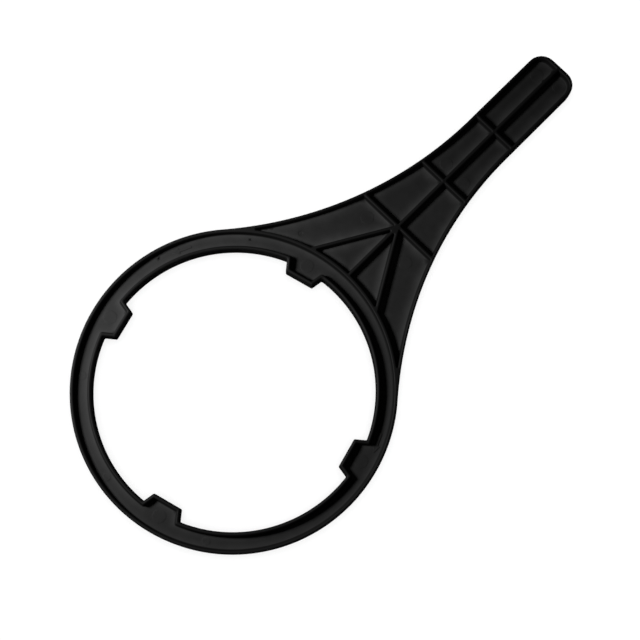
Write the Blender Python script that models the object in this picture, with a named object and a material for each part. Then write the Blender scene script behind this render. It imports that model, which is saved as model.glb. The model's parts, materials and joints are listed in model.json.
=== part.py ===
"""Ring wrench for a round water filter housing.

The real tool is one black plastic moulding: a ring with four drive lugs inside it, and a ribbed
handle. Every wall and rib stands through the full thickness, and thin webs at mid thickness close
the spaces between them. Each wall, rib, lug and web is its own solid here, with a hairline gap to
its neighbours.

Outlines are drawn about the centre of the ring, with the handle along +X. They are lists of
complex numbers, x + yj, in metres.
"""

from cmath import phase, rect
from math import cos, pi, radians, sin, sqrt

import bmesh
import bpy

# Ring
RING_RADIUS = 0.0870
RIM_WALL = 0.0021
BORE_RADIUS = 0.0754
LIP_WALL = 0.0021

# Lugs, which push on the ribs of the filter housing
LUG_COUNT = 4
FIRST_LUG_ANGLE = radians(15)
LUG_TIP_DISTANCE = 0.0685
LUG_TIP_WIDTH = 0.0164
LUG_FLANK_ANGLE = radians(24)

# Handle
HANDLE_END = 0.2551
GRIP_HALF_WIDTH = 0.0146
GRIP_CORNER_RADIUS = 0.0091
THROAT_RADIUS = 0.2177
SIDE_WALL = 0.0018
END_WALL = 0.0024
RIB_WIDTH = 0.0019
GRIP_CROSS_RIB = 0.2014
MIDDLE_CROSS_RIB = 0.1611
THROAT_CROSS_RIB = 0.1250
DIAGONAL_END_ANGLE = radians(16)

# Heights
THICKNESS = 0.0095
WEB_THICKNESS = 0.0021

# Between neighbouring solids
GAP = 0.0003

RING_STEPS = 96
THROAT_STEPS = 16
CORNER_STEPS = 8
CUTTER_OVERSHOOT = 0.001
WALL_TIP_ANGLE = radians(44)

HALF_RIB = RIB_WIDTH / 2
WEB_BOTTOM = (THICKNESS - WEB_THICKNESS) / 2
WEB_TOP = WEB_BOTTOM + WEB_THICKNESS
RING_CENTRE_X = (RING_RADIUS - HANDLE_END) / 2


# --- Outlines -----------------------------------------------------------------------------------


def dot(a, b):
    return (a.conjugate() * b).real


def cross(a, b):
    return (a.conjugate() * b).imag


class Line:
    """A straight boundary, with the region it bounds on its left."""

    def __init__(self, point, direction):
        self.point = point
        self.direction = direction / abs(direction)

    def inset(self, distance):
        return Line(self.point + distance * 1j * self.direction, self.direction)

    def foot(self, point):
        return self.point + dot(self.direction, point - self.point) * self.direction

    def between(self, start, end):
        return []


class Arc:
    """A circular boundary. The region it bounds is inside the circle, or outside it."""

    def __init__(self, centre, radius, steps, region_inside=True):
        self.centre = centre
        self.radius = radius
        self.steps = steps
        self.region_inside = region_inside

    def inset(self, distance):
        change = -distance if self.region_inside else distance
        return Arc(self.centre, self.radius + change, self.steps, self.region_inside)

    def foot(self, point):
        return self.centre + rect(self.radius, phase(point - self.centre))

    def between(self, start, end):
        """The points strictly between two of its points, with the region on the left."""
        first = phase(start - self.centre)
        turn = phase(end - self.centre) - first
        turn = turn % (2 * pi) if self.region_inside else -((-turn) % (2 * pi))
        angles = [first + turn * step / self.steps for step in range(1, self.steps)]
        return [self.centre + rect(self.radius, angle) for angle in angles]


def meeting_points(a, b):
    if isinstance(a, Line) and isinstance(b, Line):
        along = cross(b.point - a.point, b.direction) / cross(a.direction, b.direction)
        return [a.point + along * a.direction]
    if isinstance(b, Line):
        a, b = b, a
    if isinstance(a, Line):
        middle = a.foot(b.centre)
        half_chord = sqrt(max(b.radius**2 - abs(middle - b.centre) ** 2, 0.0))
        return [middle + half_chord * a.direction, middle - half_chord * a.direction]
    apart = b.centre - a.centre
    distance = abs(apart)
    along = (distance**2 + a.radius**2 - b.radius**2) / (2 * distance)
    half_chord = sqrt(max(a.radius**2 - along**2, 0.0))
    unit = apart / distance
    return [a.centre + unit * complex(along, side * half_chord) for side in (1, -1)]


def meet(a, b, about):
    """Where two boundaries meet, nearest to the point called about."""
    return min(meeting_points(a, b), key=lambda point: abs(point - about))


def outline(about, edges, inset=0.0):
    """The counter-clockwise points of a region, all its boundaries moved inwards by inset.

    Each edge is a boundary and the radius of the corner at its end, 0 for a sharp corner.
    """
    boundaries = [boundary.inset(inset) for boundary, _ in edges]
    corners = []
    for index, (boundary, radius) in enumerate(edges):
        following = edges[(index + 1) % len(edges)][0]
        here = boundaries[index]
        there = boundaries[(index + 1) % len(edges)]
        if radius > inset:
            centre = meet(boundary.inset(radius), following.inset(radius), about)
            start = here.foot(centre)
            end = there.foot(centre)
            round_part = Arc(centre, radius - inset, CORNER_STEPS)
            corners.append([start, *round_part.between(start, end), end])
        else:
            corners.append([meet(here, there, about)])
    points = []
    for index, corner in enumerate(corners):
        points += boundaries[index].between(corners[index - 1][-1], corner[0])
        points += corner
    return points


def mirrored(points):
    return [point.conjugate() for point in reversed(points)]


# --- Boundaries of the handle, on the side of +Y ------------------------------------------------

throat_start_x = sqrt(
    (RING_RADIUS + THROAT_RADIUS) ** 2 - (GRIP_HALF_WIDTH + THROAT_RADIUS) ** 2
)
throat_centre = complex(throat_start_x, GRIP_HALF_WIDTH + THROAT_RADIUS)
rib_node = complex(THROAT_CROSS_RIB, 0)
diagonal_end = rect(RING_RADIUS, DIAGONAL_END_ANGLE)
to_ring = (diagonal_end - rib_node) / abs(diagonal_end - rib_node)

outside_ring = Arc(0, RING_RADIUS, CORNER_STEPS, region_inside=False)
inside_throat_wall = Arc(
    throat_centre, THROAT_RADIUS + SIDE_WALL, THROAT_STEPS, region_inside=False
)
inside_grip_wall = Line(complex(0, GRIP_HALF_WIDTH - SIDE_WALL), -1)
inside_end_wall = Line(complex(HANDLE_END - END_WALL, 0), 1j)
above_centre_rib = Line(complex(0, HALF_RIB), 1)
above_diagonal = Line(rib_node - HALF_RIB * 1j * to_ring, -to_ring)
below_diagonal = Line(rib_node + HALF_RIB * 1j * to_ring, to_ring)


def beyond(x):
    """The face of a cross rib that the pocket on its grip side meets."""
    return Line(complex(x + HALF_RIB, 0), -1j)


def before(x):
    """The face of a cross rib that the pocket on its ring side meets."""
    return Line(complex(x - HALF_RIB, 0), 1j)


def pockets():
    """Each handle pocket on the side of +Y: a point near its middle, and its edges."""
    grip_pocket_corner = GRIP_CORNER_RADIUS - END_WALL
    return {
        "grip": (
            complex(0.228, 0.007),
            [
                (above_centre_rib, 0),
                (inside_end_wall, grip_pocket_corner),
                (inside_grip_wall, 0),
                (beyond(GRIP_CROSS_RIB), 0),
            ],
        ),
        "middle": (
            complex(0.181, 0.007),
            [
                (above_centre_rib, 0),
                (before(GRIP_CROSS_RIB), 0),
                (inside_grip_wall, 0),
                (inside_throat_wall, 0),
                (beyond(MIDDLE_CROSS_RIB), 0),
            ],
        ),
        "throat": (
            complex(0.143, 0.009),
            [
                (above_centre_rib, 0),
                (before(MIDDLE_CROSS_RIB), 0),
                (inside_throat_wall, 0),
                (beyond(THROAT_CROSS_RIB), 0),
            ],
        ),
        "shoulder": (
            complex(0.104, 0.024),
            [
                (above_diagonal, 0),
                (before(THROAT_CROSS_RIB), 0),
                (inside_throat_wall, 0),
                (outside_ring, 0),
            ],
        ),
        "root": (
            complex(0.096, 0.007),
            [
                (above_centre_rib, 0),
                (below_diagonal, 0),
                (outside_ring, 0),
            ],
        ),
    }


# --- Solids -------------------------------------------------------------------------------------


def black_plastic(name):
    material = bpy.data.materials.new(name + "_plastic")
    material.use_nodes = True
    shader = material.node_tree.nodes["Principled BSDF"]
    shader.inputs["Base Color"].default_value = (0.02, 0.02, 0.02, 1)
    shader.inputs["Roughness"].default_value = 0.45
    shader.inputs["Metallic"].default_value = 0.0
    return material


def place(name, bm, turn=0.0):
    """Makes the object of a node, about the ring's centre and turned round the ring's axis."""
    bmesh.ops.recalc_face_normals(bm, faces=bm.faces)
    mesh = bpy.data.meshes.new(name)
    bm.to_mesh(mesh)
    bm.free()
    mesh.materials.append(black_plastic(name))
    node = bpy.data.objects.new(name, mesh)
    node.parent = ring_axis
    node.rotation_euler.z = turn
    bpy.context.collection.objects.link(node)
    return node


def add_prism(bm, points, bottom, top):
    base = [bm.verts.new((point.real, point.imag, bottom)) for point in points]
    face = bm.faces.new(base)
    raised = bmesh.ops.extrude_face_region(bm, geom=[face])["geom"]
    top_verts = [item for item in raised if isinstance(item, bmesh.types.BMVert)]
    bmesh.ops.translate(bm, verts=top_verts, vec=(0, 0, top - bottom))


def prism(name, points, bottom=0.0, top=THICKNESS, turn=0.0):
    bm = bmesh.new()
    add_prism(bm, points, bottom, top)
    return place(name, bm, turn)


def hoop(name, outer_radius, inner_radius, bottom, top):
    """A closed ring of rectangular section, made by spinning the section once round."""
    bm = bmesh.new()
    corners = [
        (outer_radius, bottom),
        (outer_radius, top),
        (inner_radius, top),
        (inner_radius, bottom),
    ]
    section = [bm.verts.new((radius, 0, height)) for radius, height in corners]
    edges = [bm.edges.new((section[i - 1], section[i])) for i in range(4)]
    bmesh.ops.spin(
        bm,
        geom=section + edges,
        cent=(0, 0, 0),
        axis=(0, 0, 1),
        angle=2 * pi,
        steps=RING_STEPS,
        use_merge=True,
    )
    return place(name, bm)


def flank(side, outwards):
    """One side of a lug that points along +X, passing through the edge of its tip."""
    edge = complex(LUG_TIP_DISTANCE, side * LUG_TIP_WIDTH / 2)
    away = complex(cos(LUG_FLANK_ANGLE), side * sin(LUG_FLANK_ANGLE))
    return Line(edge, away if outwards else -away)


def root_edge(side, outwards):
    """Where a lug's side reaches the bore, the radial end of the lug's own stretch of wall."""
    bore = Arc(0, BORE_RADIUS, CORNER_STEPS)
    root = meet(bore, flank(side, True), complex(BORE_RADIUS, side * LUG_TIP_WIDTH))
    return Line(root, root if outwards else -root)


def make_ring():
    hoop("ring_outer_rim", RING_RADIUS, RING_RADIUS - RIM_WALL, 0, THICKNESS)
    hoop(
        "ring_channel_web",
        RING_RADIUS - RIM_WALL - GAP,
        BORE_RADIUS + LIP_WALL + GAP,
        WEB_BOTTOM,
        WEB_TOP,
    )


def make_lugs():
    """Hollow lugs: walls on three sides of a web, and open towards the ring's channel."""
    lip_outside = Arc(0, BORE_RADIUS + LIP_WALL, CORNER_STEPS)
    tip = Line(complex(LUG_TIP_DISTANCE, 0), -1j)
    middle = complex(BORE_RADIUS, 0)
    block = outline(
        middle,
        [
            (tip, 0),
            (flank(-1, True), 0),
            (root_edge(-1, True), 0),
            (lip_outside, 0),
            (root_edge(1, False), 0),
            (flank(1, False), 0),
        ],
    )
    open_end = Line(complex(RING_RADIUS, 0), 1j)
    hollow = outline(
        middle,
        [
            (tip.inset(LIP_WALL), 0),
            (flank(-1, True).inset(LIP_WALL), 0),
            (open_end, 0),
            (flank(1, False).inset(LIP_WALL), 0),
        ],
    )
    for number in range(LUG_COUNT):
        turn = FIRST_LUG_ANGLE + number * 2 * pi / LUG_COUNT
        lug = prism(f"drive_lug_{number + 1}", block, turn=turn)
        bm = bmesh.new()
        add_prism(bm, hollow, WEB_TOP, THICKNESS + CUTTER_OVERSHOOT)
        add_prism(bm, hollow, -CUTTER_OVERSHOOT, WEB_BOTTOM)
        cutter = place(f"lug_cutter_{number + 1}", bm, turn)
        cutter.hide_render = True
        cutter.display_type = "WIRE"
        cut = lug.modifiers.new("hollows", "BOOLEAN")
        cut.operation = "DIFFERENCE"
        cut.solver = "EXACT"
        cut.object = cutter


def make_lips():
    """The wall round the bore, in one length between each lug and the next."""
    lip_steps = RING_STEPS // LUG_COUNT
    quarter = rect(1, 2 * pi / LUG_COUNT)
    next_lug = root_edge(-1, False)
    edges = [
        (Arc(0, BORE_RADIUS + LIP_WALL, lip_steps), 0),
        (Line(next_lug.point * quarter, next_lug.direction * quarter).inset(GAP), 0),
        (Arc(0, BORE_RADIUS, lip_steps, region_inside=False), 0),
        (root_edge(1, True).inset(GAP), 0),
    ]
    points = outline(rect(BORE_RADIUS, pi / LUG_COUNT), edges)
    for number in range(LUG_COUNT):
        turn = FIRST_LUG_ANGLE + number * 2 * pi / LUG_COUNT
        prism(f"bore_lip_{number + 1}", points, turn=turn)


def both_sides(name, points, bottom=0.0, top=THICKNESS):
    prism(name + "_left", points, bottom, top)
    prism(name + "_right", mirrored(points), bottom, top)


def make_handle_walls():
    """The two sides of the handle, blunt where they run out along the ring, and its end."""
    wall_end_x = HANDLE_END - GRIP_CORNER_RADIUS
    side = [
        (Arc(throat_centre, THROAT_RADIUS + SIDE_WALL, THROAT_STEPS), 0),
        (Line(complex(0, GRIP_HALF_WIDTH - SIDE_WALL), 1), 0),
        (Line(complex(wall_end_x - GAP, 0), 1j), 0),
        (Line(complex(0, GRIP_HALF_WIDTH), -1), 0),
        (Arc(throat_centre, THROAT_RADIUS, THROAT_STEPS, region_inside=False), 0),
        (Line(0, -rect(1, WALL_TIP_ANGLE)), 0),
        (outside_ring.inset(GAP), 0),
    ]
    both_sides("handle_wall", outline(rib_node, side))

    start = Line(complex(wall_end_x, 0), -1j)
    outside = [
        (Line(complex(0, -GRIP_HALF_WIDTH), 1), GRIP_CORNER_RADIUS),
        (Line(complex(HANDLE_END, 0), 1j), GRIP_CORNER_RADIUS),
        (Line(complex(0, GRIP_HALF_WIDTH), -1), 0),
        (start, 0),
    ]
    inside = [
        (Line(complex(0, SIDE_WALL - GRIP_HALF_WIDTH), 1), GRIP_CORNER_RADIUS - END_WALL),
        (inside_end_wall, GRIP_CORNER_RADIUS - END_WALL),
        (inside_grip_wall, 0),
        (start, 0),
    ]
    about = complex(HANDLE_END, 0)
    prism("grip_end_wall", outline(about, outside) + outline(about, inside)[::-1])


def make_ribs():
    rib_end = HANDLE_END - END_WALL - GAP
    centre_rib = [
        complex(RING_RADIUS + GAP, -HALF_RIB),
        complex(rib_end, -HALF_RIB),
        complex(rib_end, HALF_RIB),
        complex(RING_RADIUS + GAP, HALF_RIB),
    ]
    prism("centre_rib", centre_rib)
    cross_ribs = {
        "grip_cross_rib": (GRIP_CROSS_RIB, inside_grip_wall),
        "middle_cross_rib": (MIDDLE_CROSS_RIB, inside_throat_wall),
        "throat_cross_rib": (THROAT_CROSS_RIB, inside_throat_wall),
    }
    for name, (x, side_wall) in cross_ribs.items():
        edges = [
            (above_centre_rib.inset(GAP), 0),
            (Line(complex(x + HALF_RIB, 0), 1j), 0),
            (side_wall.inset(GAP), 0),
            (Line(complex(x - HALF_RIB, 0), -1j), 0),
        ]
        both_sides(name, outline(complex(x, GRIP_HALF_WIDTH), edges))
    edges = [
        (Line(below_diagonal.point, -to_ring), 0),
        (above_centre_rib.inset(GAP), 0),
        (before(THROAT_CROSS_RIB).inset(GAP), 0),
        (Line(above_diagonal.point, to_ring), 0),
        (outside_ring.inset(GAP), 0),
    ]
    both_sides("diagonal_rib", outline((rib_node + diagonal_end) / 2, edges))


def make_webs():
    for name, (about, edges) in pockets().items():
        points = outline(about, edges, inset=GAP)
        both_sides(f"{name}_web", points, WEB_BOTTOM, WEB_TOP)


for old in list(bpy.data.objects):
    bpy.data.objects.remove(old)
ring_axis = bpy.data.objects.new("ring_axis", None)
ring_axis.location.x = RING_CENTRE_X
bpy.context.collection.objects.link(ring_axis)
make_ring()
make_lugs()
make_lips()
make_handle_walls()
make_ribs()
make_webs()
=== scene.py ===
"""The looks of a black plastic ring wrench for a water filter housing.

The real wrench is one moulding, so one seamless mesh stands for every CAD node. Sizes here are in
millimetres about the ring's centre, with the handle along +X and heights from mid thickness.
Outlines are drawn with complex numbers, x + yj. Only the finished mesh is in metres.
"""

import json
from cmath import phase, rect
from math import cos, pi, radians, sin, sqrt

import bpy
import numpy as np
from mathutils import Euler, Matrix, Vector
from mathutils.geometry import delaunay_2d_cdt

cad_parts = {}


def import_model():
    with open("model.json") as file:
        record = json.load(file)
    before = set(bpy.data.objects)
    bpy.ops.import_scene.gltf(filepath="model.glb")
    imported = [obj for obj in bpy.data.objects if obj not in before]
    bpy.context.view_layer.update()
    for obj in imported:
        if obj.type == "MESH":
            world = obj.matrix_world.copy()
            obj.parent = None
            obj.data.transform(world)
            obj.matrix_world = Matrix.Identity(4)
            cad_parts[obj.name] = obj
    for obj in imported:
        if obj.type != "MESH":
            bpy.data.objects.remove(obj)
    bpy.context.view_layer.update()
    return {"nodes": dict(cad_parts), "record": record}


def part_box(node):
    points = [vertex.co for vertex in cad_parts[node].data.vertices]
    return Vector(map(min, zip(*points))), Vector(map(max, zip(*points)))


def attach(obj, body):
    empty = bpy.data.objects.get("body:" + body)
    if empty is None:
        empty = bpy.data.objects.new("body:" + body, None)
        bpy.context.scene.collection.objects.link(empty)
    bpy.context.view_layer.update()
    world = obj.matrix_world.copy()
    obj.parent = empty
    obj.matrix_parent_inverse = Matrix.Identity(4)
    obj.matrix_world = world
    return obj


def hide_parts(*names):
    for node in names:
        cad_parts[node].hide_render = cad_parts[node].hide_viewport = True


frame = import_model()

# --- Sizes that the frame gives -----------------------------------------------------------------

MM = 1000


def node_box(node):
    """A CAD node's lowest and highest corners, in millimetres of the row frame."""
    low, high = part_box(node)
    return Vector(low) * MM, Vector(high) * MM


def mount(name):
    return next(item for item in frame["record"]["mounts"] if item["name"] == name)


rim_low, rim_high = node_box("ring_outer_rim")
web_low, web_high = node_box("ring_channel_web")
_, centre_rib_high = node_box("centre_rib")
_, grip_end_high = node_box("grip_end_wall")

RING_X = (rim_low.x + rim_high.x) / 2
RING_RADIUS = (rim_high.x - rim_low.x) / 2
HALF_THICKNESS = (rim_high.z - rim_low.z) / 2
HALF_WEB = (web_high.z - web_low.z) / 2
HALF_RIB = centre_rib_high.y
HANDLE_END = grip_end_high.x - RING_X
GRIP_HALF_WIDTH = grip_end_high.y


def cross_rib_x(node):
    low, high = node_box(node)
    return (low.x + high.x) / 2 - RING_X


GRIP_CROSS_RIB = cross_rib_x("grip_cross_rib_left")
MIDDLE_CROSS_RIB = cross_rib_x("middle_cross_rib_left")
THROAT_CROSS_RIB = cross_rib_x("throat_cross_rib_left")

first_tip = Vector(mount("lug_1_tip")["pos_m"]) * MM
first_tip_point = complex(first_tip.x - RING_X, first_tip.y)
LUG_TIP_DISTANCE = abs(first_tip_point)
FIRST_LUG_ANGLE = phase(first_tip_point)

# --- Sizes of the moulding ----------------------------------------------------------------------

RIM_WALL = 2.1
BORE_RADIUS = 75.4
LIP_WALL = 2.1
SIDE_WALL = 1.8
END_WALL = 2.4
GRIP_CORNER_RADIUS = 9.1
THROAT_RADIUS = 217.7
DIAGONAL_END_ANGLE = radians(16)

LUG_COUNT = 4
LUG_TIP_HALF_WIDTH = 8.2
LUG_FLANK_ANGLE = radians(24)
LUG_TIP_CORNER = 1.0
LUG_ROOT_CORNER = 0.9
LUG_HOLLOW_CORNER = 0.5
LUG_MOUTH_CORNER = 1.0

POCKET_CORNER = 0.45
SMALLEST_CORNER = 0.06

# A point inside each handle pocket on the side of +Y: grip, middle, throat, shoulder and root.
POCKET_MIDDLES = (228 + 7j, 181 + 7j, 143 + 9j, 104 + 24j, 96 + 7j)

OUTSIDE_EDGE_ROUND = 0.9
BORE_EDGE_ROUND = 1.2
INSIDE_EDGE_ROUND = 0.78
FLOOR_FILLET = 0.35
OUTSIDE_DRAFT = radians(0.3)
POCKET_DRAFT = radians(4)
PARTING_RIDGE = 0.04
PARTING_RIDGE_HEIGHT = 0.1

# Each floor rises towards its walls in a shallow cove.
COVE_HEIGHT = 0.28
COVE_WIDTH = 4.0

# Dust and painted light run from 0 to 1. The open floor has a thin film of dust. Towards the walls
# the value grows as a painted lighter band, and it drops to 0 in a strip at each wall's foot, which
# is painted shade.
DUST_ON_FLAT = 0.35
CHANNEL_DUST_AND_PAINTED_LIGHT = {"dust_and_light_at_walls": 0.7, "width": 5.5, "painted_shade_strip": 0.4}
POCKET_DUST_AND_PAINTED_LIGHT = {"dust_and_light_at_walls": 1.0, "width": 6.5, "painted_shade_strip": 0.1}

# Rows of floor points at these distances from the walls carry the cove, the dust and the painted
# light. A point is kept where no wall is nearer to it than this share of its row's distance.
ROWS_BESIDE_WALLS = (0.25, 0.5, 0.9, 1.5, 2.2, 3.0, 3.9, 5.0, 6.4)
ROW_CLEARANCE = 0.96

# How many stretches each curve or edge is divided into.
EDGE_STEPS = 4
FILLET_STEPS = 4
CORNER_STEPS = 6
LINE_STEPS = 12
OUTSIDE_RING_STEPS = 260
THROAT_STEPS = 56
CHANNEL_RIM_STEPS = 320
BORE_ARC_STEPS = 60
FLANK_STEPS = 4
TIP_STEPS = 8
LONG_POCKET_STEPS = 20
CROSS_RIB_STEPS = 8
END_WALL_STEPS = 4

# Keeps a side of no length from dividing by zero, and how near points have to be to merge.
LEAST_SQUARED_LENGTH = 1e-12
MERGE_DISTANCE = 1e-6

# --- Outlines -----------------------------------------------------------------------------------


def dot(a, b):
    return (a.conjugate() * b).real


def cross(a, b):
    return (a.conjugate() * b).imag


class Line:
    """A straight boundary, with the region it bounds on its left."""

    def __init__(self, point, direction, steps=LINE_STEPS):
        self.point = point
        self.direction = direction / abs(direction)
        self.steps = steps

    def inset(self, distance):
        return Line(self.point + distance * 1j * self.direction, self.direction, self.steps)

    def turned(self, angle):
        return Line(rect(1, angle) * self.point, rect(1, angle) * self.direction, self.steps)

    def foot(self, point):
        return self.point + dot(self.direction, point - self.point) * self.direction

    def between(self, start, end):
        return [start + (end - start) * step / self.steps for step in range(1, self.steps)]


class Arc:
    """A circular boundary. The region it bounds is inside the circle, or outside it."""

    def __init__(self, centre, radius, steps, region_inside=True):
        self.centre = centre
        self.radius = radius
        self.steps = steps
        self.region_inside = region_inside

    def inset(self, distance):
        change = -distance if self.region_inside else distance
        return Arc(self.centre, self.radius + change, self.steps, self.region_inside)

    def foot(self, point):
        return self.centre + rect(self.radius, phase(point - self.centre))

    def between(self, start, end):
        """The points strictly between two of its points, with the region on the left."""
        first = phase(start - self.centre)
        turn = phase(end - self.centre) - first
        turn = turn % (2 * pi) if self.region_inside else -((-turn) % (2 * pi))
        angles = [first + turn * step / self.steps for step in range(1, self.steps)]
        return [self.centre + rect(self.radius, angle) for angle in angles]


def meeting_points(a, b):
    if isinstance(a, Line) and isinstance(b, Line):
        along = cross(b.point - a.point, b.direction) / cross(a.direction, b.direction)
        return [a.point + along * a.direction]
    if isinstance(b, Line):
        a, b = b, a
    if isinstance(a, Line):
        middle = a.foot(b.centre)
        half_chord = sqrt(max(b.radius**2 - abs(middle - b.centre) ** 2, 0.0))
        return [middle + half_chord * a.direction, middle - half_chord * a.direction]
    apart = b.centre - a.centre
    distance = abs(apart)
    along = (distance**2 + a.radius**2 - b.radius**2) / (2 * distance)
    half_chord = sqrt(max(a.radius**2 - along**2, 0.0))
    unit = apart / distance
    return [a.centre + unit * complex(along, side * half_chord) for side in (1, -1)]


def meet(a, b, near):
    return min(meeting_points(a, b), key=lambda point: abs(point - near))


def corner_points(a, b, radius, near, inset):
    """The points of the corner between two boundaries, both moved into the region by inset.

    A positive radius rounds a corner that sticks out of the region, a negative one a corner that
    sticks into it. Where two boundaries run smoothly into each other the radius is 0.
    """
    if radius == 0:
        return [meet(a.inset(inset), b.inset(inset), near)]
    outward = radius > 0
    size = max(radius - inset if outward else inset - radius, SMALLEST_CORNER)
    centre_inset = inset + size if outward else inset - size
    centre = meet(a.inset(centre_inset), b.inset(centre_inset), near)
    start = a.inset(inset).foot(centre)
    end = b.inset(inset).foot(centre)
    return [start, *Arc(centre, size, CORNER_STEPS, outward).between(start, end), end]


def outline(edges, inset):
    """The points of a closed outline, region on the left, moved into the region by inset.

    Each edge is a boundary, the radius of the corner at its end and a point near that corner. The
    number of points is the same for every inset.
    """
    corners = []
    for index, (boundary, radius, near) in enumerate(edges):
        following = edges[(index + 1) % len(edges)][0]
        corners.append(corner_points(boundary, following, radius, near, inset))
    points = []
    for index, corner in enumerate(corners):
        boundary = edges[index][0].inset(inset)
        points += boundary.between(corners[index - 1][-1], corner[0])
        points += corner
    return points


# --- The edges of the moulding ------------------------------------------------------------------

throat_start_x = sqrt(
    (RING_RADIUS + THROAT_RADIUS) ** 2 - (GRIP_HALF_WIDTH + THROAT_RADIUS) ** 2
)
throat_centre = complex(throat_start_x, GRIP_HALF_WIDTH + THROAT_RADIUS)
rib_node = complex(THROAT_CROSS_RIB, 0)
diagonal_end = rect(RING_RADIUS, DIAGONAL_END_ANGLE)
to_ring = (diagonal_end - rib_node) / abs(diagonal_end - rib_node)


def outside_edges():
    """Round the whole wrench: the ring, the throats, the grip and its end."""
    ring = Arc(0, RING_RADIUS, OUTSIDE_RING_STEPS)
    below = throat_centre.conjugate()
    lower_throat = Arc(below, THROAT_RADIUS, THROAT_STEPS, region_inside=False)
    upper_throat = Arc(throat_centre, THROAT_RADIUS, THROAT_STEPS, region_inside=False)
    tangent = RING_RADIUS * throat_centre / abs(throat_centre)
    grip_start = complex(throat_start_x, GRIP_HALF_WIDTH)
    end_corner = complex(HANDLE_END, GRIP_HALF_WIDTH)
    return [
        (ring, 0, tangent.conjugate()),
        (lower_throat, 0, grip_start.conjugate()),
        (Line(grip_start.conjugate(), 1), GRIP_CORNER_RADIUS, end_corner.conjugate()),
        (Line(end_corner.conjugate(), 1j), GRIP_CORNER_RADIUS, end_corner),
        (Line(end_corner, -1), 0, grip_start),
        (upper_throat, 0, tangent),
    ]


def flank(side, outwards):
    """One side of a lug that points along +X, passing through the edge of its tip."""
    edge = complex(LUG_TIP_DISTANCE, side * LUG_TIP_HALF_WIDTH)
    away = complex(cos(LUG_FLANK_ANGLE), side * sin(LUG_FLANK_ANGLE))
    return Line(edge, away if outwards else -away, FLANK_STEPS)


def lug_edges(radius, wall, root_corner, tip_corner):
    """Clockwise round the bore and its lugs, or round the same shape a wall's thickness outside."""
    arc = Arc(0, radius + wall, BORE_ARC_STEPS, region_inside=False)
    tip = Line(complex(LUG_TIP_DISTANCE, 0), -1j, TIP_STEPS)
    sides = [flank(1, False), tip, flank(-1, True)]
    sides = [side.inset(wall) for side in sides]
    root = meet(arc, sides[0], complex(radius, LUG_TIP_HALF_WIDTH))
    tip_end = meet(sides[0], sides[1], 0)
    edges = []
    for number in reversed(range(LUG_COUNT)):
        turn = FIRST_LUG_ANGLE + number * 2 * pi / LUG_COUNT
        way = rect(1, turn)
        edges += [
            (arc, root_corner, root * way),
            (sides[0].turned(turn), tip_corner, tip_end * way),
            (sides[1].turned(turn), tip_corner, tip_end.conjugate() * way),
            (sides[2].turned(turn), root_corner, root.conjugate() * way),
        ]
    return edges


def pocket_edges():
    """The edges of each handle pocket on the side of +Y, grip first."""
    steps = LONG_POCKET_STEPS
    outside_ring = Arc(0, RING_RADIUS, steps, region_inside=False)
    throat_wall = Arc(throat_centre, THROAT_RADIUS + SIDE_WALL, steps, region_inside=False)
    grip_wall = Line(complex(0, GRIP_HALF_WIDTH - SIDE_WALL), -1, steps)
    end_wall = Line(complex(HANDLE_END - END_WALL, 0), 1j, END_WALL_STEPS)
    above_centre_rib = Line(complex(0, HALF_RIB), 1, steps)
    above_diagonal = Line(rib_node - HALF_RIB * 1j * to_ring, -to_ring, steps)
    below_diagonal = Line(rib_node + HALF_RIB * 1j * to_ring, to_ring, steps)
    end_corner = GRIP_CORNER_RADIUS - END_WALL

    def beyond(x):
        return Line(complex(x + HALF_RIB, 0), -1j, CROSS_RIB_STEPS)

    def before(x):
        return Line(complex(x - HALF_RIB, 0), 1j, CROSS_RIB_STEPS)

    grip = [
        (above_centre_rib, POCKET_CORNER),
        (end_wall, end_corner),
        (grip_wall, POCKET_CORNER),
        (beyond(GRIP_CROSS_RIB), POCKET_CORNER),
    ]
    middle = [
        (above_centre_rib, POCKET_CORNER),
        (before(GRIP_CROSS_RIB), POCKET_CORNER),
        (grip_wall, 0),
        (throat_wall, POCKET_CORNER),
        (beyond(MIDDLE_CROSS_RIB), POCKET_CORNER),
    ]
    throat = [
        (above_centre_rib, POCKET_CORNER),
        (before(MIDDLE_CROSS_RIB), POCKET_CORNER),
        (throat_wall, POCKET_CORNER),
        (beyond(THROAT_CROSS_RIB), POCKET_CORNER),
    ]
    shoulder = [
        (above_diagonal, POCKET_CORNER),
        (before(THROAT_CROSS_RIB), POCKET_CORNER),
        (throat_wall, POCKET_CORNER),
        (outside_ring, POCKET_CORNER),
    ]
    root = [
        (above_centre_rib, POCKET_CORNER),
        (below_diagonal, POCKET_CORNER),
        (outside_ring, POCKET_CORNER),
    ]
    shapes = zip((grip, middle, throat, shoulder, root), POCKET_MIDDLES)
    return [[(*edge, near) for edge in shape] for shape, near in shapes]


def mirrored(points):
    return [point.conjugate() for point in reversed(points)]


# --- Sections -----------------------------------------------------------------------------------


def outside_section(edge_round):
    """From the parting line up to the flat top: inset into the wall, height and wear."""
    levels = [(0.0, 0.0, 0.0), (PARTING_RIDGE, PARTING_RIDGE_HEIGHT, 0.0)]
    wall_top = HALF_THICKNESS - edge_round
    wall_inset = PARTING_RIDGE + wall_top * sin(OUTSIDE_DRAFT)
    for step in range(EDGE_STEPS + 1):
        angle = pi / 2 * step / EDGE_STEPS
        inset = wall_inset + edge_round * (1 - cos(angle))
        levels.append((inset, wall_top + edge_round * sin(angle), sin(2 * angle)))
    return levels


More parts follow.
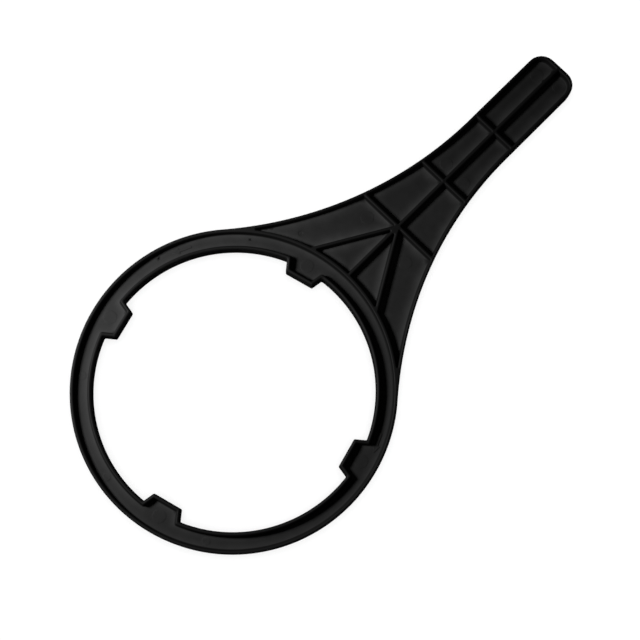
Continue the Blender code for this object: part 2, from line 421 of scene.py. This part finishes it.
def pocket_section():
    """From the flat top down to the floor: inset into the pocket, height and wear."""
    levels = []
    for step in range(EDGE_STEPS + 1):
        angle = pi / 2 * step / EDGE_STEPS
        inset = INSIDE_EDGE_ROUND * (sin(angle) - 1)
        height = HALF_THICKNESS - INSIDE_EDGE_ROUND * (1 - cos(angle))
        levels.append((inset, height, sin(2 * angle)))
    wall_height = HALF_THICKNESS - HALF_WEB - INSIDE_EDGE_ROUND - FLOOR_FILLET
    wall_inset = wall_height * sin(POCKET_DRAFT)
    cove_slope = 2 * COVE_HEIGHT / COVE_WIDTH
    last_angle = pi / 2 - cove_slope
    wall_foot = HALF_WEB + COVE_HEIGHT + FLOOR_FILLET * sin(last_angle)
    for step in range(FILLET_STEPS + 1):
        angle = last_angle * step / FILLET_STEPS
        inset = wall_inset + FLOOR_FILLET * (1 - cos(angle))
        levels.append((inset, wall_foot - FLOOR_FILLET * sin(angle), 0.0))
    return levels


# --- Marks moulded on the floors ----------------------------------------------------------------

# Left and right in the middle, grip and shoulder pockets.
EJECTOR_PLACES = (
    170.1 + 6.4j,
    168.7 - 8.0j,
    243.3 + 6.3j,
    247.3 - 6.9j,
    117.3 + 15.8j,
    113.9 - 16.4j,
)
EJECTOR_RADIUS = 3.7
EJECTOR_HEIGHT = 0.07
LUG_EJECTOR_DISTANCE = 77.4
CHANNEL_EJECTOR_RADIUS = 2.2
CHANNEL_EJECTOR_ANGLES = (radians(130), radians(170), radians(215))
GATE_PLACE = 85.2 + 35.3j
GATE_RADIUS = 1.3
GATE_DEPTH = 0.1
GATE_DUST_SHARE = 0.8
PIT_PLACES = (rect(82.1, radians(39.4)), rect(82.3, radians(75.2)))
PIT_RADIUS = 0.48
PIT_DEPTH = 0.4
# Nothing is mixed into the pits, so they keep the darkest colour: painted shade.
PIT_PAINTED_SHADE_SHARE = 0
EJECTOR_SIDES = 40
GATE_SIDES = 20
PIT_SIDES = 12

# The sloping edge of every mark: distance in from its outline, and share of its height.
MARK_EDGE = ((0.0, 0.0), (0.03, 0.1), (0.09, 0.9), (0.12, 1.0))
MARK_EDGE_WIDTH = MARK_EDGE[-1][0]

ARROW_HEIGHT = 0.32
ARROW_SHAFT_LENGTH = 6.9
ARROW_SHAFT_WIDTH = 1.5
ARROW_HEAD_LENGTH = 4.2
ARROW_HEAD_WIDTH = 3.8
CHANNEL_MIDDLE = (BORE_RADIUS + LIP_WALL + RING_RADIUS - RIM_WALL) / 2
# Where each arrow is, and 1 if it points anticlockwise or -1 if clockwise.
ARROW_ANGLES = ((radians(66.1), 1), (radians(-66.1), -1))


def circle(centre, radius, sides):
    return [centre + rect(radius, 2 * pi * side / sides) for side in range(sides)]


def arrow(angle, way):
    """A block arrow in the ring's channel, pointing round the ring."""
    back = -(ARROW_SHAFT_LENGTH + ARROW_HEAD_LENGTH) / 2
    neck = back + ARROW_SHAFT_LENGTH
    point = -back
    half_shaft = ARROW_SHAFT_WIDTH / 2
    half_head = ARROW_HEAD_WIDTH / 2
    shape = [
        complex(back, -half_shaft),
        complex(neck, -half_shaft),
        complex(neck, -half_head),
        complex(point, 0),
        complex(neck, half_head),
        complex(neck, half_shaft),
        complex(back, half_shaft),
    ]
    centre = rect(CHANNEL_MIDDLE, angle)
    return [centre + rect(1, angle + way * pi / 2) * corner for corner in shape]


def marks():
    """Each moulded mark's outline, how far it stands off the floor, and its share of the dust and
    painted light. The pits get none, which paints them in shade.
    """
    places = list(EJECTOR_PLACES)
    for number in range(LUG_COUNT):
        places.append(rect(LUG_EJECTOR_DISTANCE, FIRST_LUG_ANGLE + number * 2 * pi / LUG_COUNT))
    discs = [circle(place, EJECTOR_RADIUS, EJECTOR_SIDES) for place in places]
    for angle in CHANNEL_EJECTOR_ANGLES:
        place = rect(CHANNEL_MIDDLE, angle)
        discs.append(circle(place, CHANNEL_EJECTOR_RADIUS, EJECTOR_SIDES))
    ejectors = [(disc, EJECTOR_HEIGHT, 1) for disc in discs]
    arrows = [(arrow(angle, way), ARROW_HEIGHT, 1) for angle, way in ARROW_ANGLES]
    gate = (circle(GATE_PLACE, GATE_RADIUS, GATE_SIDES), -GATE_DEPTH, GATE_DUST_SHARE)
    pits = [circle(place, PIT_RADIUS, PIT_SIDES) for place in PIT_PLACES]
    return [*ejectors, *arrows, gate, *[(pit, -PIT_DEPTH, PIT_PAINTED_SHADE_SHARE) for pit in pits]]


# --- Building the mesh --------------------------------------------------------------------------

FLAT_FACE_WEIGHT = 60


def distances(points, loops):
    """How far each point is from the nearest of the loops."""
    points = np.array(points)[:, None]
    nearest = np.full(len(points), np.inf)
    for loop in loops:
        start = np.array(loop)[None, :]
        side = np.roll(start, -1, axis=1) - start
        squared = np.maximum(np.abs(side) ** 2, LEAST_SQUARED_LENGTH)
        along = ((points - start) * side.conj()).real / squared
        apart = np.abs(points - start - np.clip(along, 0, 1) * side)
        nearest = np.minimum(nearest, apart.min(axis=1))
    return nearest


def inside(points, loops):
    """Whether each point is inside an odd number of the loops."""
    points = np.array(points)[:, None]
    crossings = np.zeros(len(points), int)
    for loop in loops:
        start = np.array(loop)[None, :]
        end = np.roll(start, -1, axis=1)
        spans = (start.imag > points.imag) != (end.imag > points.imag)
        rise = np.where(spans, end.imag - start.imag, 1)
        at = start.real + (points.imag - start.imag) * (end.real - start.real) / rise
        crossings += (spans & (points.real < at)).sum(axis=1)
    return crossings % 2 == 1


class Moulding:
    """Collects the vertices and faces of one closed mesh."""

    def __init__(self):
        self.vertices = []
        self.wear = []
        self.dust_and_painted_light = []
        self.faces = []

    def ring(self, points, heights, wear=0.0, dust_and_painted_light=0.0):
        """Adds vertices, most often those of an outline, and returns their numbers."""
        first = len(self.vertices)
        heights = np.broadcast_to(heights, len(points))
        self.vertices += [(p.real, p.imag, float(z)) for p, z in zip(points, heights)]
        self.wear += [wear] * len(points)
        self.dust_and_painted_light += list(np.broadcast_to(dust_and_painted_light, len(points)))
        return list(range(first, len(self.vertices)))

    def face(self, corners, side):
        self.faces.append(corners if side > 0 else corners[::-1])

    def bridge(self, first, second, side):
        """Joins two outlines with the same number of points by a band of quads."""
        for here in range(len(first)):
            self.face([first[here - 1], first[here], second[here], second[here - 1]], side)

    def flat(self, ring):
        return [complex(*self.vertices[number][:2]) for number in ring]

    def fill(self, outlines, side, borders=(), loose=()):
        """Fills the region between outlines, with edges along borders and through loose points."""
        rings = [*outlines, *borders]
        numbers = [number for ring in rings for number in ring] + list(loose)
        places = [Vector(self.vertices[number][:2]) for number in numbers]
        edges = []
        first = 0
        for ring in rings:
            count = len(ring)
            edges += [(first + i, first + (i + 1) % count) for i in range(count)]
            first += count
        made, _, triangles, origins, _, _ = delaunay_2d_cdt(places, edges, [], 0, MERGE_DISTANCE)
        middles = [sum(complex(*made[i]) for i in corners) / 3 for corners in triangles]
        loops = []
        first = 0
        for ring in outlines:
            loops.append([complex(*place) for place in places[first : first + len(ring)]])
            first += len(ring)
        wanted = inside(middles, loops)
        for corners, keep in zip(triangles, wanted):
            if keep:
                self.face([numbers[origins[corner][0]] for corner in corners], side)


def moved_in(points, distance):
    """A small outline with all its sides moved in by a distance, and its corners kept sharp."""
    moved = []
    for here, point in enumerate(points):
        before = point - points[here - 1]
        after = points[(here + 1) % len(points)] - point
        before *= 1j / abs(before)
        after *= 1j / abs(after)
        moved.append(point + distance * (before + after) / (1 + dot(before, after)))
    return moved


def cove_height(points, loops):
    """How far the floor rises towards the walls, in a shallow hollow curve along each outline."""
    closeness = [np.clip(1 - distances(points, [loop]) / COVE_WIDTH, 0, 1) for loop in loops]
    return COVE_HEIGHT * sum(near**2 for near in closeness)


def dust_and_painted_light_at(points, loops, dust_and_light_at_walls, width, painted_shade_strip):
    """How dusty and painted the floor is: a thin film of dust in the open, a painted lighter band
    that grows towards the walls, and painted shade in a strip at each wall's foot.
    """
    apart = distances(points, loops)
    closeness = np.clip(1 - apart / width, 0, 1)
    dust_and_painted_light = DUST_ON_FLAT + (dust_and_light_at_walls - DUST_ON_FLAT) * closeness**2
    return dust_and_painted_light * np.clip(apart / painted_shade_strip, 0, 1)


def beside_walls(loops):
    """Rows of points along the walls, without those that come nearer to another wall."""
    kept = []
    for distance in ROWS_BESIDE_WALLS:
        row = []
        for loop in loops:
            for here, point in enumerate(loop):
                along = loop[(here + 1) % len(loop)] - loop[here - 1]
                row.append(point + distance * 1j * along / abs(along))
        clear = distances(row, loops) > ROW_CLEARANCE * distance
        kept += [point for point, is_clear in zip(row, clear) if is_clear]
    return kept


def add_floor(moulding, rings, side, shapes, dust_and_light_layout):
    """A pocket's floor, with the moulded marks that lie on it."""
    loops = [moulding.flat(ring) for ring in rings]
    loose = beside_walls(loops)
    borders = []
    raised = np.zeros(len(loose))
    for shape, height, dust_and_light_share in shapes:
        if not inside(shape[:1], loops)[0]:
            continue
        top = moved_in(shape, MARK_EDGE_WIDTH)
        keep = distances(loose, [shape, top]) > MARK_EDGE_WIDTH
        loose = [point for point, is_kept in zip(loose, keep) if is_kept]
        raised = raised[keep] + height * inside(loose, [top])
        for inset, rise in MARK_EDGE:
            border = moved_in(shape, inset)
            heights = HALF_WEB + cove_height(border, loops) + rise * height
            dust_and_painted_light = dust_and_painted_light_at(border, loops, **dust_and_light_layout) * dust_and_light_share
            borders.append(moulding.ring(border, side * heights, dust_and_painted_light=dust_and_painted_light))
    heights = HALF_WEB + cove_height(loose, loops) + raised
    # A dust film, with painted light beside the walls and painted shade at their feet.
    dust_and_painted_light = dust_and_painted_light_at(loose, loops, **dust_and_light_layout)
    inner = moulding.ring(loose, side * heights, dust_and_painted_light=dust_and_painted_light)
    moulding.fill(rings, side, borders, inner)


def channel(inset):
    """The ring's channel, which runs on into the hollows of the lugs."""
    outer = circle(0, RING_RADIUS - RIM_WALL - inset, CHANNEL_RIM_STEPS)
    edges = lug_edges(BORE_RADIUS, LIP_WALL, -LUG_MOUTH_CORNER, LUG_HOLLOW_CORNER)
    return [outer, outline(edges, inset)]


def handle_pockets():
    """Functions that give the outline of each handle pocket at an inset."""
    shapes = []
    for edges in pocket_edges():
        shapes.append(lambda inset, edges=edges: [outline(edges, inset)])
        shapes.append(lambda inset, edges=edges: [mirrored(outline(edges, inset))])
    return shapes


def add_section(moulding, rings, levels, shape, side):
    """Carries outlines through the levels of a section, and returns the last ones."""
    for inset, height, wear in levels:
        following = [moulding.ring(loop, side * height, wear) for loop in shape(inset)]
        for ring, next_ring in zip(rings, following):
            moulding.bridge(ring, next_ring, side)
        rings = following
    return rings


def build_moulding():
    moulding = Moulding()
    outside = outside_edges()
    bore = lug_edges(BORE_RADIUS, 0, -LUG_ROOT_CORNER, LUG_TIP_CORNER)

    walls = [
        (lambda inset: [outline(outside, inset)], outside_section(OUTSIDE_EDGE_ROUND)),
        (lambda inset: [outline(bore, inset)], outside_section(BORE_EDGE_ROUND)),
    ]
    pockets = [(channel, CHANNEL_DUST_AND_PAINTED_LIGHT)]
    pockets += [(pocket, POCKET_DUST_AND_PAINTED_LIGHT) for pocket in handle_pockets()]
    seams = [[moulding.ring(loop, 0.0) for loop in wall(0.0)] for wall, _ in walls]
    for side, shapes in ((1, marks()), (-1, [])):
        tops = []
        for (wall, levels), seam in zip(walls, seams):
            tops += add_section(moulding, seam, levels[1:], wall, side)
        for pocket, dust_and_light_layout in pockets:
            (inset, height, wear), *levels = pocket_section()
            rings = [moulding.ring(loop, side * height, wear) for loop in pocket(inset)]
            tops += rings
            rings = add_section(moulding, rings, levels, pocket, side)
            add_floor(moulding, rings, side, shapes, dust_and_light_layout)
        moulding.fill(tops, side)
    return moulding


def make_piece(name, moulding):
    """The moulding as an object in the row frame, whose flat faces look flat."""
    mesh = bpy.data.meshes.new(name)
    lift = Vector((RING_X, 0, HALF_THICKNESS))
    places = [(Vector(vertex) + lift) / MM for vertex in moulding.vertices]
    mesh.from_pydata(places, [], moulding.faces)
    for finish, values in (("wear", moulding.wear), ("dust_and_painted_light", moulding.dust_and_painted_light)):
        mesh.attributes.new(finish, "FLOAT", "POINT").data.foreach_set("value", values)
    mesh.shade_smooth()
    piece = bpy.data.objects.new(name, mesh)
    bpy.context.collection.objects.link(piece)
    weighted = piece.modifiers.new("flat faces stay flat", "WEIGHTED_NORMAL")
    weighted.weight = FLAT_FACE_WEIGHT
    return piece


# --- Material -----------------------------------------------------------------------------------

# Colours, gloss and key light were tuned together. The dusty colour is both a film of dust on the
# floors and
# painted light: floors are painted lighter beside the walls, and painted in shade in a strip at
# each wall's foot.
CLEAN_COLOUR = (0.004, 0.004, 0.004, 1)
DUST_AND_PAINTED_LIGHT_COLOUR = (0.06, 0.06, 0.06, 1)
ROUGHNESS = 0.68
ROUGHNESS_CHANGE = 0.03
WORN_EDGE_POLISH = 0.05
SPECULAR_LEVEL = 0.3

# The scale of each noise per metre, and its detail.
GRAIN_NOISE = (1600.0, 3.0)
MOTTLE_NOISE = (160.0, 4.0)
CLOUD_NOISE = (45.0, 3.0)
WAVE_NOISE = (28.0, 2.0)
NOISE_HALF_RANGE = 0.2

# Blotches multiply the dust and painted light by between 1 - this and 1 + this, twice.
BLOTCH_CHANGE = 0.15
WAVE_BUMP = {"Strength": 0.5, "Distance": 0.0002}
GRAIN_BUMP = {"Strength": 0.5, "Distance": 0.00003}


def add_node(tree, kind, inputs=None, **settings):
    """Makes a shader node. Each input is a value, or the socket that feeds it."""
    node = tree.nodes.new(kind)
    for name, value in settings.items():
        setattr(node, name, value)
    for name, value in (inputs or {}).items():
        if isinstance(value, bpy.types.NodeSocket):
            tree.links.new(value, node.inputs[name])
        else:
            node.inputs[name].default_value = value
    return node


def black_plastic():
    """Black plastic with a fine grain, slow waves, mottled gloss and a blotchy film of dust, with
    painted light beside the walls and painted shade at their feet.
    """
    material = bpy.data.materials.new("black_moulded_plastic")
    material.use_nodes = True
    tree = material.node_tree
    shader = tree.nodes["Principled BSDF"]
    shader.inputs["Specular IOR Level"].default_value = SPECULAR_LEVEL
    place = add_node(tree, "ShaderNodeTexCoord").outputs["Object"]
    wear = add_node(tree, "ShaderNodeAttribute", attribute_name="wear").outputs["Fac"]
    # This attribute carries a dust film and painted light: floors painted lighter beside the walls
    # and in shade at each wall's foot.
    dust_and_painted_light = add_node(tree, "ShaderNodeAttribute", attribute_name="dust_and_painted_light").outputs["Fac"]

    def noise(scale, detail):
        inputs = {"Vector": place, "Scale": scale, "Detail": detail}
        return add_node(tree, "ShaderNodeTexNoise", inputs).outputs["Fac"]

    def spread(value, middle, change):
        """Carries a noise to values that lie about a middle."""
        inputs = {"Value": value}
        inputs |= {"From Min": 0.5 - NOISE_HALF_RANGE, "From Max": 0.5 + NOISE_HALF_RANGE}
        inputs |= {"To Min": middle - change, "To Max": middle + change}
        return add_node(tree, "ShaderNodeMapRange", inputs).outputs["Result"]

    def combine(operation, a, b):
        node = add_node(tree, "ShaderNodeMath", {0: a, 1: b}, operation=operation)
        return node.outputs["Value"]

    def bump(height, inputs):
        node = add_node(tree, "ShaderNodeBump", {"Height": height, **inputs})
        return node.outputs["Normal"]

    mottle = noise(*MOTTLE_NOISE)
    fine_blotches = spread(mottle, 1, BLOTCH_CHANGE)
    broad_blotches = spread(noise(*CLOUD_NOISE), 1, BLOTCH_CHANGE)
    blotches = combine("MULTIPLY", fine_blotches, broad_blotches)
    colour = add_node(
        tree,
        "ShaderNodeMix",
        {"Factor": combine("MULTIPLY", dust_and_painted_light, blotches), "A": CLEAN_COLOUR, "B": DUST_AND_PAINTED_LIGHT_COLOUR},
        data_type="RGBA",
        clamp_factor=False,
    )
    tree.links.new(colour.outputs[2], shader.inputs["Base Color"])

    rough = spread(mottle, ROUGHNESS, ROUGHNESS_CHANGE)
    polish = combine("MULTIPLY", wear, WORN_EDGE_POLISH)
    tree.links.new(combine("SUBTRACT", rough, polish), shader.inputs["Roughness"])

    waves = bump(noise(*WAVE_NOISE), WAVE_BUMP)
    grain = bump(noise(*GRAIN_NOISE), {**GRAIN_BUMP, "Normal": waves})
    tree.links.new(grain, shader.inputs["Normal"])
    return material


# --- Studio -------------------------------------------------------------------------------------

CAMERA_PLACE = (-125.4, -87.4, 686.9)
CAMERA_TURN = (radians(10.664), radians(-1.062), radians(-45.216))
CAMERA_LENS = 72.43

KEY_PLACE = (-264, 290, 320)
KEY_AIM = (-56, 80, 5)
KEY_SPREAD = radians(95)
KEY_SIZE = 0.13
KEY_POWER = 0.52

# Each light that reaches only the floor: its name, its power and whether it casts shadows.
FLOOR_LIGHTS = (("floor_light", 3.1, False), ("contact_shadow_light", 0.65, True))
FLOOR_LIGHT_ANGLE = radians(60)
FLOOR_HALF_WIDTH = 3.0
FLOOR_COLOUR = (0.85, 0.85, 0.85, 1)
FLOOR_ROUGHNESS = 0.9

# The surroundings glow above the horizon and fade out between these heights of a ray.
HORIZON_LIGHT = 0.1
HORIZON_EDGE = 0.02
FADE_STARTS = 0.1
FADE_ENDS = 0.7


def add_floor_plane():
    half = FLOOR_HALF_WIDTH
    mesh = bpy.data.meshes.new("studio_floor")
    corners = [(-half, -half, 0), (half, -half, 0), (half, half, 0), (-half, half, 0)]
    mesh.from_pydata(corners, [], [(0, 1, 2, 3)])
    paint = bpy.data.materials.new("pale_floor")
    paint.use_nodes = True
    shader = paint.node_tree.nodes["Principled BSDF"]
    shader.inputs["Base Color"].default_value = FLOOR_COLOUR
    shader.inputs["Roughness"].default_value = FLOOR_ROUGHNESS
    mesh.materials.append(paint)
    floor = bpy.data.objects.new("studio_floor", mesh)
    bpy.context.collection.objects.link(floor)
    floor.visible_glossy = False
    return floor


def only(receiver):
    """A collection for light linking, so that a light reaches one object and no other."""
    receivers = bpy.data.collections.new("only_" + receiver.name)
    receivers.objects.link(receiver)
    return receivers


def add_key_light(wrench):
    """The soft light on the wrench. The floor doesn't receive it."""
    light = bpy.data.lights.new("key_light", "AREA")
    light.shape = "DISK"
    light.size = KEY_SIZE
    light.energy = KEY_POWER
    light.spread = KEY_SPREAD
    key = bpy.data.objects.new("key_light", light)
    key.location = Vector(KEY_PLACE) / MM
    key.rotation_euler = (Vector(KEY_AIM) - Vector(KEY_PLACE)).to_track_quat("-Z", "Y").to_euler()
    bpy.context.collection.objects.link(key)
    key.light_linking.receiver_collection = only(wrench)


def add_floor_lights(floor):
    """Broad lights from overhead that keep the floor pale, with a faint contact shadow."""
    only_floor = only(floor)
    for name, power, casts_shadow in FLOOR_LIGHTS:
        lamp = bpy.data.lights.new(name, "SUN")
        lamp.energy = power
        lamp.angle = FLOOR_LIGHT_ANGLE
        lamp.use_shadow = casts_shadow
        floor_light = bpy.data.objects.new(name, lamp)
        bpy.context.collection.objects.link(floor_light)
        floor_light.light_linking.receiver_collection = only_floor


def add_surroundings():
    """White to the camera. The wrench gets only a dim glow, most of it from near the horizon."""
    world = bpy.data.worlds.new("studio")
    world.use_nodes = True
    tree = world.node_tree
    direction = add_node(tree, "ShaderNodeTexCoord").outputs["Generated"]
    height = add_node(tree, "ShaderNodeSeparateXYZ", {"Vector": direction}).outputs["Z"]
    fade = {"Value": height, "From Min": FADE_STARTS, "From Max": FADE_ENDS}
    fade |= {"To Min": HORIZON_LIGHT, "To Max": 0.0}
    above = add_node(tree, "ShaderNodeMapRange", fade).outputs["Result"]
    edge = {"Value": height, "From Min": -HORIZON_EDGE, "From Max": HORIZON_EDGE}
    over_floor = add_node(tree, "ShaderNodeMapRange", edge).outputs["Result"]
    glow = add_node(tree, "ShaderNodeMath", {0: above, 1: over_floor}, operation="MULTIPLY")
    seen = add_node(tree, "ShaderNodeLightPath").outputs["Is Camera Ray"]
    strength = add_node(tree, "ShaderNodeMath", {0: glow.outputs[0], 1: seen}, operation="MAXIMUM")
    background = tree.nodes["Background"]
    background.inputs["Color"].default_value = (1, 1, 1, 1)
    tree.links.new(strength.outputs[0], background.inputs["Strength"])
    bpy.context.scene.world = world
    bpy.context.scene.view_settings.view_transform = "Standard"


def add_camera():
    camera = bpy.data.objects.new("camera", bpy.data.cameras.new("camera"))
    camera.data.lens = CAMERA_LENS
    camera.location = Vector(CAMERA_PLACE) / MM
    camera.rotation_euler = Euler(CAMERA_TURN)
    bpy.context.collection.objects.link(camera)
    bpy.context.scene.camera = camera


wrench = make_piece("wrench_moulding", build_moulding())
wrench.data.materials.append(black_plastic())
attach(wrench, "root")
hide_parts(*frame["nodes"])
floor = add_floor_plane()
add_key_light(wrench)
add_floor_lights(floor)
add_surroundings()
add_camera()
